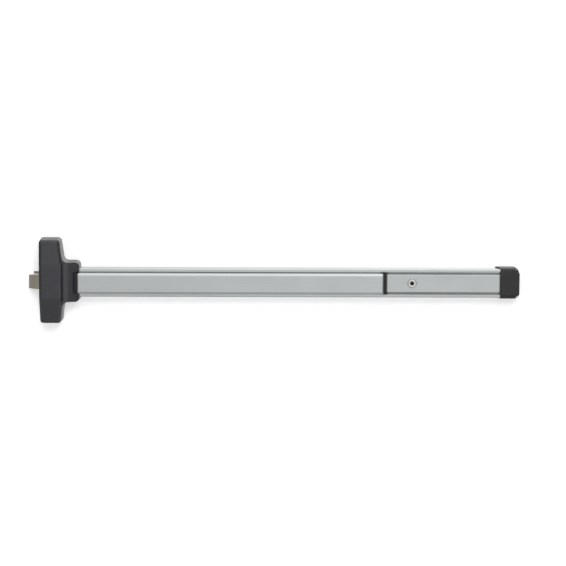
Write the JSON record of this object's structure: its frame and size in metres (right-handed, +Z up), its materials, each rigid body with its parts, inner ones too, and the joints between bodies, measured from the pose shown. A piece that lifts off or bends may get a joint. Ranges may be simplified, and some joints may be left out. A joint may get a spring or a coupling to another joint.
{
  "type": "panic exit bar",
  "caption": "Touch-bar exit device: a silver push pad in an aluminium rail draws in a sprung rim latch in a charcoal case; black end cap and hex-key hold-open.",
  "frame": {"origin": "centre of the latch case's four-bolt pattern on the door face", "axes": "+X along the bar from the latch case to the end cap, +Y into the door so that the door face is y = 0 and the bar stands out to -Y, +Z up"},
  "size_m": [1.1746, 0.062, 0.2032],
  "materials": {
    "cover_paint": "charcoal powder coat, semi-gloss, fine orange peel",
    "cap_paint": "charcoal black powder coat, semi-gloss",
    "satin_aluminium": "satin anodised extrusion with fine lengthwise grain",
    "cap_silver": "bright satin silver casting",
    "black_plastic": "moulded black nylon",
    "bright_nickel": "bright nickel plate",
    "latch_metal": "plated cast steel, vertical polishing marks",
    "plated_steel": "zinc plated sheet steel",
    "cast_zinc": "tumbled casting",
    "dark_steel": "black oxide steel",
    "black_screw": "black plated screw",
    "spring_steel": "drawn spring wire",
    "rubber": "matte black rubber",
    "nylon": "natural nylon"
  },
  "bodies": {
    "frame": {"bracket_screws": "plated_steel", "case_cover": "cover_paint", "chassis_plate": "plated_steel", "cover_screws": "black_screw", "crank_bracket_left": "plated_steel", "crank_bracket_right": "plated_steel", "crank_pivot_pins": "plated_steel", "deadlatch_spring": "spring_steel", "dogging_bracket": "plated_steel", "dogging_bracket_screws": "plated_steel", "dogging_ferrule": "bright_nickel", "end_bracket": "plated_steel", "end_cap": "cap_paint", "end_cap_screws": "black_screw", "filler_plate": "satin_aluminium", "latch_guide": "plated_steel", "latch_guide_screws": "plated_steel", "latch_spring": "spring_steel", "lever_clip": "dark_steel", "lever_pivot_pin": "plated_steel", "mechanism_rail": "satin_aluminium", "pad_bumpers": "rubber", "pad_guide_left": "black_plastic", "pad_guide_right": "black_plastic", "rail_screws": "plated_steel", "return_spring": "spring_steel", "rod_guides": "nylon", "spring_anchor": "plated_steel"},
    "touch_bar": {"touch_bar": "satin_aluminium", "pad_cap_left": "cap_silver", "pad_cap_right": "cap_silver", "lift_bracket_left": "plated_steel", "lift_bracket_right": "plated_steel", "lift_bracket_screws": "plated_steel"},
    "crank_left": {"bell_crank_left": "cast_zinc", "crank_link_pin_left": "plated_steel"},
    "crank_right": {"bell_crank_right": "cast_zinc", "crank_link_pin_right": "plated_steel"},
    "drive_rod": {"drive_rod": "plated_steel", "rod_stud": "plated_steel", "spring_guide_pin": "plated_steel"},
    "retractor": {"retractor_lever": "cast_zinc", "lever_drive_pin": "plated_steel"},
    "latch_bolt": {"latch_bolt": "latch_metal"},
    "deadlatch": {"deadlatch": "latch_metal"},
    "dogging": {"dogging_screw": "dark_steel", "dogging_cam": "plated_steel", "dogging_clip": "dark_steel"}
  },
  "joints": [
    {"name": "bar_press", "type": "slide", "parent": "frame", "child": "touch_bar", "axis": [0, 1, 0], "range_m": [0, 0.0148]},
    {"name": "crank_left_pivot", "type": "hinge", "parent": "frame", "child": "crank_left", "pos_m": [0.19, -0.0294, 0], "axis": [0, 0, -1], "range_deg": [0, 36.2]},
    {"name": "crank_right_pivot", "type": "hinge", "parent": "frame", "child": "crank_right", "pos_m": [0.67, -0.0294, 0], "axis": [0, 0, -1], "range_deg": [0, 36.2]},
    {"name": "rod_slide", "type": "slide", "parent": "frame", "child": "drive_rod", "axis": [1, 0, 0], "range_m": [0, 0.01205], "deforming": ["return_spring"]},
    {"name": "retractor_pivot", "type": "hinge", "parent": "frame", "child": "retractor", "pos_m": [0.014, -0.015, -0.04], "axis": [0, 1, 0], "range_deg": [0, 35.1]},
    {"name": "latch_slide", "type": "slide", "parent": "frame", "child": "latch_bolt", "axis": [1, 0, 0], "range_m": [0, 0.0241], "deforming": ["latch_spring"]},
    {"name": "deadlatch_slide", "type": "slide", "parent": "frame", "child": "deadlatch", "axis": [1, 0, 0], "range_m": [0, 0.0105], "deforming": ["deadlatch_spring"]},
    {"name": "dogging_turn", "type": "hinge", "parent": "frame", "child": "dogging", "pos_m": [0.8636, -0.03, 0], "axis": [0, -1, 0], "range_deg": [0, 90]}
  ],
  "couplings": [
    {"joint": "crank_left_pivot", "follows": "bar_press", "rad_per_m": 42.454},
    {"joint": "crank_right_pivot", "follows": "bar_press", "rad_per_m": 42.454},
    {"joint": "rod_slide", "follows": "bar_press", "ratio": 0.81013},
    {"joint": "retractor_pivot", "follows": "bar_press", "rad_per_m": 41.175},
    {"joint": "latch_slide", "follows": "bar_press", "ratio": 1.6216}
  ]
}
